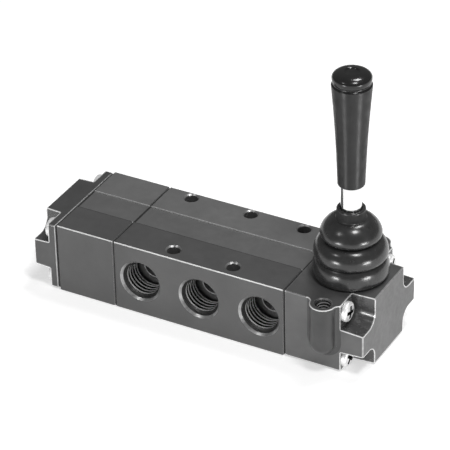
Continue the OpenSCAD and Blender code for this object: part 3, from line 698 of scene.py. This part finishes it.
def cross_cutter():
    """The punch that sinks the cross recess, narrower at its foot."""
    work = bmesh.new()
    for turn in (0, 90):
        spin = Matrix.Rotation(math.radians(turn), 4, "Z")
        corners = []
        for z, share in (
            (HEAD_HEIGHT + 0.5 * mm, RECESS_MOUTH),
            (HEAD_HEIGHT - RECESS_DEPTH, RECESS_FOOT),
        ):
            x = RECESS_REACH * share
            y = RECESS_WIDTH / 2 * (0.6 + 0.4 * share)
            for sx, sy in ((-1, -1), (1, -1), (1, 1), (-1, 1)):
                corners.append(work.verts.new(spin @ Vector((sx * x, sy * y, z))))
        work.faces.new(corners[:4])
        work.faces.new(corners[4:])
        for k in range(4):
            m = (k + 1) % 4
            work.faces.new((corners[k], corners[m], corners[m + 4], corners[k + 4]))
    return new_piece("cross_cutter", work)


def zinc(name, grey, rough):
    """Bright zinc plate: nearly white metal with a fine orange peel."""
    finish = new_finish(name, grey, metal=0.5, rough=rough)
    lightest = min(1, grey * 1.08)
    vary_colour(finish, grain(finish, 1.2 * mm), dark=grey * 0.9, light=lightest)
    vary_gloss(finish, grain(finish, 0.9 * mm), low=rough * 0.8, high=rough * 1.3)
    add_relief(finish, grain(finish, 0.25 * mm), depth=0.004 * mm, strength=0.5)
    return finish


zinc_finish = zinc("zinc_plate", ZINC_GREY, ZINC_ROUGH)
recess_shade_finish = bare_metal("recess_painted_shade", RECESS_SHADE_GREY, RECESS_ROUGH)


def pan_screw(name, shank):
    """One screw with its head's seat on z = 0 and its shank below."""
    outline = [
        (0, -shank),
        (SHANK_RADIUS - 0.5 * mm, -shank),
        (SHANK_RADIUS, -shank + 0.6 * mm),
        (SHANK_RADIUS, 0),
        (HEAD_RADIUS, 0),
        (HEAD_RADIUS, HEAD_HEIGHT * HEAD_SIDE),
    ]
    crown = (HEAD_RADIUS - HEAD_ROUND, HEAD_HEIGHT / 2)
    outline += arc(crown, HEAD_ROUND, 5, 80, 6, HEAD_HEIGHT * HEAD_SIDE)
    outline += [(HEAD_RADIUS * 0.3, HEAD_HEIGHT * 0.99), (0, HEAD_HEIGHT)]
    screw = spun(name, outline, 48)
    cutter = cross_cutter()
    cut = screw.modifiers.new("recess", "BOOLEAN")
    cut.object = cutter
    cut.operation = "DIFFERENCE"
    cut.use_self = True
    settle(screw)
    bpy.data.objects.remove(cutter)
    dress(screw, zinc_finish, recess_shade_finish)
    # The faces down in the cross recess get the painted shade.
    for face in screw.data.polygons:
        reach = math.hypot(face.center.x, face.center.y)
        sunk = 0.1 * mm < face.center.z < HEAD_HEIGHT - 0.3 * mm
        if sunk and reach < RECESS_REACH:
            face.material_index = 1
    return screw


cap_lo, cap_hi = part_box("end_cap_screws")
end_lo, end_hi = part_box("lever_housing_screws")
for node, name, seat, tip, way in (
    ("end_cap_screws", "cap_screw", cap_lo[0] + HEAD_HEIGHT, cap_hi[0], -1),
    ("lever_housing_screws", "lever_screw", end_hi[0] - HEAD_HEIGHT, end_lo[0], 1),
):
    for count, (sy, sz) in enumerate(((-1, -1), (-1, 1), (1, -1), (1, 1)), 1):
        screw = pan_screw(f"{name}_{count}", abs(seat - tip))
        aim = Matrix.Rotation(way * math.pi / 2, 4, "Y")
        roll = Matrix.Rotation(math.radians(FIRST_ROLL + NEXT_ROLL * count), 4, "X")
        place = Vector((seat, sy * SCREW_Y, SPOOL_HEIGHT + sz * SCREW_RISE))
        stand(screw, place, roll @ aim)
        smooth(screw, 32)
        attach(screw, "valve")
    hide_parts(node)


# ------------------------------------------------------- sleeve and spool
# Steel cages, with cross holes for the air, stand between the seal rings and are held
# by a retainer at each end. The ground aluminium spool slides in them, and its collar
# and nut sit between the springs.

BRASS = (0.66, 0.5, 0.24)
STEEL = (0.56, 0.56, 0.57)
GROUND_ALLOY = (0.74, 0.74, 0.73)


def turned_metal(name, colour, rough):
    """Metal from the lathe: fine rings round the spool's axis."""
    finish = new_finish(name, colour, metal=1, rough=rough)
    dark = tuple(0.88 * c for c in colour)
    light = tuple(min(1, 1.06 * c) for c in colour)
    vary_colour(finish, grain(finish, 4 * mm), dark, light)
    vary_gloss(finish, grain(finish, 1.5 * mm), low=rough * 0.8, high=rough * 1.25)
    rings = grain(finish, 0.12 * mm, stretch=(1, 25, 25))
    add_relief(finish, rings, depth=0.004 * mm, strength=0.6)
    return finish


brass_finish = turned_metal("turned_brass", BRASS, 0.3)
steel_finish = turned_metal("turned_steel", STEEL, 0.32)
ground_finish = turned_metal("ground_spool", GROUND_ALLOY, 0.16)
for node in ("pivot_bush", "grip_insert"):
    dress(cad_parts[node], brass_finish)
for node in (
    "port_cages",
    "end_retainers",
    "spring_collar",
    "collar_nut",
    "spring_seat",
    "drive_ball",
    "pivot_pin",
    "thrust_washers",
    "carrier_ring",
):
    dress(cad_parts[node], steel_finish)
dress(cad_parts["spool"], ground_finish)


# ---------------------------------------------------------- return springs
# Two springs, coiled from round steel wire, push on the spool's collar from both sides
# and bring it back to the middle. Their end turns lie flat on their seats.

WIRE_RADIUS = 0.7 * mm
WIRE_SIDES = 12
WIRE_COLOUR = (0.42, 0.42, 0.44)
COIL_RADIUS = 7.6 * mm
COIL_TURNS = 5.5
COIL_STEPS = 198
END_TURNS = 0.75
END_RISE = 0.05


def coil(name, start, end):
    """A spring of round wire between two seats on the spool's axis."""
    room = (end - start) - 2 * WIRE_RADIUS
    dead = END_TURNS / COIL_TURNS
    rings = []
    for i in range(COIL_STEPS + 1):
        t = i / COIL_STEPS
        if t < dead:
            share = END_RISE * t / dead
        elif t > 1 - dead:
            share = 1 - END_RISE * (1 - t) / dead
        else:
            share = END_RISE + (1 - 2 * END_RISE) * (t - dead) / (1 - 2 * dead)
        angle = 2 * math.pi * COIL_TURNS * t
        ring = []
        for k in range(WIRE_SIDES):
            turn = 2 * math.pi * k / WIRE_SIDES
            along = start + WIRE_RADIUS * (1 + math.sin(turn)) + room * share
            r = COIL_RADIUS + WIRE_RADIUS * math.cos(turn)
            up = SPOOL_HEIGHT + r * math.sin(angle)
            ring.append((along, r * math.cos(angle), up))
        rings.append(ring)
    return tube(name, rings)


wire_finish = turned_metal("spring_wire", WIRE_COLOUR, 0.26)
dress(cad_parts["snap_ring"], wire_finish)
inner_lo, inner_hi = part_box("inner_spring")
outer_lo, outer_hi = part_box("outer_spring")
for node, name, start, end, fixed_first in (
    ("inner_spring", "inner_coil", inner_lo[0], inner_hi[0], False),
    ("outer_spring", "outer_coil", outer_lo[0], outer_hi[0], True),
):
    spring = coil(name, start, end)
    smooth(spring, 40)
    dress(spring, wire_finish)
    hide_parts(node)
    low = (start, 0, SPOOL_HEIGHT)
    high = (end, 0, SPOOL_HEIGHT)
    if fixed_first:
        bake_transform(spring)
    else:
        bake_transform(spring)


# ------------------------------------------------------------ lever shaft
# A ground steel bar with a cross hub at its foot, hard chromed and polished. It turns
# on the pivot pin, and its upper end screws into the grip's insert.

CHROME_GREY = 0.84
CHROME_ROUGH = 0.1


def chrome(name, grey, rough):
    """Polished chrome, with faint polishing lines round the bar."""
    finish = new_finish(name, grey, metal=1, rough=rough)
    vary_gloss(finish, grain(finish, 2 * mm), low=rough * 0.8, high=rough * 1.3)
    lightest = min(1, grey * 1.03)
    vary_colour(finish, grain(finish, 6 * mm), dark=grey * 0.97, light=lightest)
    lines = grain(finish, 0.3 * mm, stretch=(20, 20, 1))
    add_relief(finish, lines, depth=0.002 * mm, strength=0.4)
    return finish


shaft_bar = piece_of("lever_shaft", "shaft_bar")
smooth(shaft_bar)
dress(shaft_bar, chrome("polished_chrome", CHROME_GREY, CHROME_ROUGH))
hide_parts("lever_shaft")
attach(shaft_bar, "lever")


# ------------------------------------------------------------------- boot
# A bellows of glossy black rubber, moulded with three round folds. Its foot snaps over
# the housing's collar, and its neck grips the shaft.

BOOT_WALL = 1.3 * mm
FOOT_RADIUS = 13.8 * mm
# Each fold: its crest's radius and height, those of the waist above it, how far its
# shoulder leans out of the round, and the steps along that shoulder.
FOLDS = (
    (15.6 * mm, 2.8 * mm, 13.2 * mm, 8.6 * mm, 1, 14),
    (15.1 * mm, 10.9 * mm, 10.1 * mm, 17.3 * mm, 1, 14),
    (12.5 * mm, 19.8 * mm, 6.6 * mm, 26.3 * mm, 1.25, 20),
)
UNDER_STEPS = 14
NECK_STEPS = 12
NECK_FOOT = 27.6 * mm
NECK_RADIUS = 4.38 * mm
NECK_SHADE_BAND = (26.6 * mm, 29.6 * mm)
LIP_RADIUS = 5.9 * mm
LIP_HEIGHT = 31 * mm
LIP_ROUND = (LIP_RADIUS - NECK_RADIUS) / 2
BOOT_GREY = 0.025
BOOT_ROUGH = 0.23
BOOT_GLOSS = 0.65
# Painted shade: the neck band is darker, and duller, than the rest of the boot.
NECK_SHADE_GREY = 0.01
NECK_ROUGH = 0.7


def boot_side(wall):
    """The boot's side from foot to neck, moved inwards by the wall."""
    points = []
    below, floor = FOOT_RADIUS, 0
    for crest, middle, waist, ceiling, lean, steps in FOLDS:
        foot = (below - wall, middle)
        rise = middle - floor - wall
        under = arc(foot, crest - below, -90, 0, UNDER_STEPS, rise)
        points += under[1:] if points else under
        for i in range(1, steps + 1):
            turn = math.pi / 2 * i / steps
            out = (crest - waist) * math.cos(turn) ** lean
            up = (ceiling - middle - wall) * math.sin(turn) ** lean
            points.append((waist - wall + out, middle + up))
        below, floor = waist, ceiling
    for i in range(1, NECK_STEPS + 1):
        turn = math.pi / 2 * i / NECK_STEPS
        out = (below - LIP_RADIUS) * math.sin(turn)
        up = (NECK_FOOT - floor) * math.cos(turn)
        points.append((below - wall - out, NECK_FOOT - wall - up))
    return points


inner = [point for point in boot_side(BOOT_WALL) if point[0] > NECK_RADIUS]
lip = arc((LIP_RADIUS - LIP_ROUND, LIP_HEIGHT - LIP_ROUND), LIP_ROUND, 0, 180, 12)
outline = [(FOOT_RADIUS - BOOT_WALL, 0)] + boot_side(0) + lip
outline += [(NECK_RADIUS, inner[-1][1])] + inner[::-1]
outline.append(outline[0])
boot_skin = spun("boot_skin", outline, 128)
work = bmesh.new()
work.from_mesh(boot_skin.data)
bmesh.ops.remove_doubles(work, verts=work.verts, dist=JOIN_REACH / 2)
bmesh.ops.recalc_face_normals(work, faces=work.faces)
work.to_mesh(boot_skin.data)
work.free()
stand(boot_skin, Vector((LEVER_X, 0, TOP)), Matrix.Identity(4))
smooth(boot_skin, 50)
boot_finish = rubber("boot_rubber", BOOT_GREY, BOOT_ROUGH, 6 * mm)
surface = boot_finish.node_tree.nodes["Principled BSDF"]
surface.inputs["Specular IOR Level"].default_value = BOOT_GLOSS
dress(boot_skin, boot_finish, rubber("neck_rubber_painted_shade", NECK_SHADE_GREY, NECK_ROUGH, 2 * mm))
# The neck band gets the darker rubber, as painted shade.
for face in boot_skin.data.polygons:
    if NECK_SHADE_BAND[0] < face.center.z - TOP < NECK_SHADE_BAND[1]:
        face.material_index = 1
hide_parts("boot")
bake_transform(boot_skin)


# ------------------------------------------------------------------- grip
# A tapered handle, moulded from black phenolic and polished, with a groove, a round
# bead and a dimple at its end. It is moulded over a brass insert.

GRIP_FOOT = 73.2 * mm
GRIP_RIM = 118.4 * mm
GRIP_TOP = 123.8 * mm
GRIP_LOW = 5.5 * mm
GRIP_HIGH = 8.1 * mm
GRIP_SAG = 0.35 * mm
GRIP_ROUND = 0.45 * mm
SIDE_GAP = 0.6 * mm
SIDE_STEPS = 24
GROOVE_RADIUS = 7.4 * mm
GROOVE_WIDTH = 0.8 * mm
BEAD_RADIUS = 7.9 * mm
BEAD_RISE = 1.9 * mm
DIMPLE_RADIUS = 3.4 * mm
DIMPLE_DEPTH = 0.6 * mm
INSERT_RADIUS = 4.96 * mm
GRIP_GREY = 0.012
GRIP_ROUGH = 0.42
GRIP_GLOSS = 0.6
POLISH = 0.9
QUARTER_TURN = 0.25
BEAD_ROUGH = 0.18
BEAD_GLOSS = 0.5


def grip_outline():
    """The grip's side from its foot, past the groove and the bead, to the dimple."""
    low, side = GRIP_FOOT + SIDE_GAP, GRIP_RIM - GRIP_FOOT - 2 * SIDE_GAP
    groove = GRIP_RIM + GROOVE_WIDTH
    bead = groove + BEAD_RISE
    points = [
        (INSERT_RADIUS, GRIP_FOOT + 0.5 * mm),
        (INSERT_RADIUS + 0.05 * mm, GRIP_FOOT),
    ]
    points += arc((GRIP_LOW - GRIP_ROUND, low), GRIP_ROUND, -80, 0, 4)
    for i in range(1, SIDE_STEPS):
        t = i / SIDE_STEPS
        swell = (GRIP_HIGH - GRIP_LOW) * t - GRIP_SAG * math.sin(math.pi * t)
        points.append((GRIP_LOW + swell, low + side * t))
    points += arc((GRIP_HIGH - GRIP_ROUND, GRIP_RIM - 0.5 * mm), GRIP_ROUND, 0, 80, 5)
    points += [
        (GROOVE_RADIUS + 0.1 * mm, GRIP_RIM + 0.1 * mm),
        (GROOVE_RADIUS, groove - 0.3 * mm),
    ]
    belly = BEAD_RADIUS - GROOVE_RADIUS
    points += arc((GROOVE_RADIUS, bead), belly, -80, 0, 8, BEAD_RISE)
    shoulder = BEAD_RADIUS - DIMPLE_RADIUS
    crown = GRIP_TOP - 0.15 * mm - bead
    points += arc((DIMPLE_RADIUS, bead), shoulder, 6, 86, 16, crown)
    points += [
        (DIMPLE_RADIUS - 0.15 * mm, GRIP_TOP),
        (DIMPLE_RADIUS - 0.4 * mm, GRIP_TOP - 0.1 * mm),
        (DIMPLE_RADIUS - 0.7 * mm, GRIP_TOP - 0.5 * mm),
        (0, GRIP_TOP - DIMPLE_DEPTH),
    ]
    return points


def phenolic(name, rough, gloss):
    """Polished phenolic: deep black under a clear gloss, with faint flow marks."""
    finish = new_finish(name, GRIP_GREY, metal=0, rough=rough)
    flow = grain(finish, 6 * mm, stretch=(1, 1, 3))
    vary_colour(finish, flow, dark=GRIP_GREY * 0.8, light=GRIP_GREY * 1.3)
    vary_gloss(finish, grain(finish, 3 * mm), low=rough * 0.85, high=rough * 1.2)
    add_relief(finish, grain(finish, 1.5 * mm), depth=0.006 * mm, strength=0.4)
    surface = finish.node_tree.nodes["Principled BSDF"]
    surface.inputs["Specular IOR Level"].default_value = gloss
    return finish


def polish_round(finish):
    """Stretches the shine up and down, as fine polishing lines round the grip do."""
    tree = finish.node_tree
    round_it = tree.nodes.new("ShaderNodeTangent")
    round_it.direction_type = "RADIAL"
    round_it.axis = "Z"
    surface = tree.nodes["Principled BSDF"]
    surface.inputs["Anisotropic"].default_value = POLISH
    surface.inputs["Anisotropic Rotation"].default_value = QUARTER_TURN
    tree.links.new(round_it.outputs["Tangent"], surface.inputs["Tangent"])


grip_shell = spun("grip_shell", grip_outline(), 128)
stand(grip_shell, Vector((LEVER_X, 0, 0)), Matrix.Identity(4))
smooth(grip_shell, 45)
handle_finish = phenolic("grip_phenolic", GRIP_ROUGH, GRIP_GLOSS)
polish_round(handle_finish)
dress(grip_shell, handle_finish, phenolic("bead_phenolic", BEAD_ROUGH, BEAD_GLOSS))
for face in grip_shell.data.polygons:
    if face.center.z > GRIP_RIM - 0.4 * mm:
        face.material_index = 1
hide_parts("grip")
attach(grip_shell, "lever")


# ---------------------------------------------------------- table and light
# The valve stands on a white sheet, in a pale room. Two soft boxes light it from above
# and one from the front left, and two small cards low in front and on the right
# brighten its sides.

FLOOR_TONE = 0.8
FLOOR_REACH = 5
FLOOR_DROP = 0.02 * mm
FLOOR_LIFT = 0.49
ROOM_LIGHT = 0.2
LIGHT_AIM = Vector((5 * mm, 0, 35 * mm))


def seen_directly(tree):
    """1 for what the camera, a mirror or glass sees directly, and 0 for the rest."""
    path = tree.nodes.new("ShaderNodeLightPath")
    first = tree.nodes.new("ShaderNodeMath")
    first.operation = "MAXIMUM"
    second = tree.nodes.new("ShaderNodeMath")
    second.operation = "MAXIMUM"
    tree.links.new(path.outputs["Is Camera Ray"], first.inputs[0])
    tree.links.new(path.outputs["Is Glossy Ray"], first.inputs[1])
    tree.links.new(first.outputs[0], second.inputs[0])
    tree.links.new(path.outputs["Is Transmission Ray"], second.inputs[1])
    return second.outputs[0]


work = bmesh.new()
bmesh.ops.create_grid(work, x_segments=4, y_segments=4, size=FLOOR_REACH)
table = new_piece("white_table", work)
table.location = (0, 0, -FLOOR_DROP)
paper = bpy.data.materials.new("white_paper")
paper.use_nodes = True
tree = paper.node_tree
tree.nodes.clear()
out = tree.nodes.new("ShaderNodeOutputMaterial")
both = tree.nodes.new("ShaderNodeAddShader")
matt = tree.nodes.new("ShaderNodeBsdfDiffuse")
matt.inputs["Color"].default_value = tint(FLOOR_TONE)
glow = tree.nodes.new("ShaderNodeEmission")
lift = tree.nodes.new("ShaderNodeMath")
lift.operation = "MULTIPLY"
lift.inputs[1].default_value = FLOOR_LIFT
tree.links.new(seen_directly(tree), lift.inputs[0])
tree.links.new(lift.outputs[0], glow.inputs["Strength"])
tree.links.new(matt.outputs[0], both.inputs[0])
tree.links.new(glow.outputs[0], both.inputs[1])
tree.links.new(both.outputs[0], out.inputs["Surface"])
table.data.materials.append(paper)

room = bpy.data.worlds.new("pale_room")
bpy.context.scene.world = room
room.use_nodes = True
tree = room.node_tree
tree.nodes.clear()
out = tree.nodes.new("ShaderNodeOutputWorld")
walls = tree.nodes.new("ShaderNodeBackground")
walls.inputs["Color"].default_value = tint(1)
walls.inputs["Strength"].default_value = ROOM_LIGHT
tree.links.new(walls.outputs[0], out.inputs["Surface"])


def soft_box(name, turn, rise, away, wide, high, power):
    """A soft box that looks at the valve. Turn is from the front, to the right."""
    lamp = bpy.data.lights.new(name, "AREA")
    lamp.shape = "RECTANGLE"
    lamp.size = wide
    lamp.size_y = high
    lamp.energy = power
    box = bpy.data.objects.new(name, lamp)
    t = math.radians(turn)
    r = math.radians(rise)
    way = Vector((math.sin(t) * math.cos(r), -math.cos(t) * math.cos(r), math.sin(r)))
    box.location = LIGHT_AIM + way * away
    box.rotation_euler = way.to_track_quat("Z", "Y").to_euler()
    bpy.context.scene.collection.objects.link(box)


soft_box("main_box", turn=160, rise=70, away=0.9, wide=0.2, high=0.2, power=2.9)
soft_box("over_box", turn=62, rise=65, away=0.9, wide=0.17, high=0.17, power=2.8)
soft_box("small_box", turn=-27, rise=46, away=0.9, wide=0.12, high=0.12, power=0.6)
soft_box("front_card", turn=-9, rise=-2, away=0.4, wide=0.11, high=0.05, power=0.46)
soft_box("right_card", turn=74, rise=-2, away=0.4, wide=0.11, high=0.05, power=0.48)


# ------------------------------------------------------------------ camera
# A long lens looks at the valve from the front, above it and a little out of level.
# Colours are shown as they are.

VIEW_TURN = math.radians(29.28)
VIEW_RISE = math.radians(32.62)
VIEW_ROLL = math.radians(-1.33)
VIEW_AWAY = 1126.7 * mm
VIEW_AIM = Vector((-1.86, 3.38, 35.09)) * mm
SENSOR = 36
FOCAL_PIXELS = 2760.7
FRAME_PIXELS = 450

back = Vector(
    (
        math.sin(VIEW_TURN) * math.cos(VIEW_RISE),
        -math.cos(VIEW_TURN) * math.cos(VIEW_RISE),
        math.sin(VIEW_RISE),
    )
)
sideways = Vector((math.cos(VIEW_TURN), math.sin(VIEW_TURN), 0))
upright = back.cross(sideways)
right = math.cos(VIEW_ROLL) * sideways + math.sin(VIEW_ROLL) * upright
up = -math.sin(VIEW_ROLL) * sideways + math.cos(VIEW_ROLL) * upright
lens = bpy.data.cameras.new("photo_camera")
lens.sensor_fit = "HORIZONTAL"
lens.sensor_width = SENSOR
lens.lens = FOCAL_PIXELS / FRAME_PIXELS * SENSOR
camera = bpy.data.objects.new("photo_camera", lens)
facing = Matrix((right, up, back)).transposed().to_4x4()
camera.matrix_world = Matrix.Translation(VIEW_AIM + back * VIEW_AWAY) @ facing
bpy.context.scene.collection.objects.link(camera)
bpy.context.scene.camera = camera
bpy.context.scene.view_settings.view_transform = "Standard"
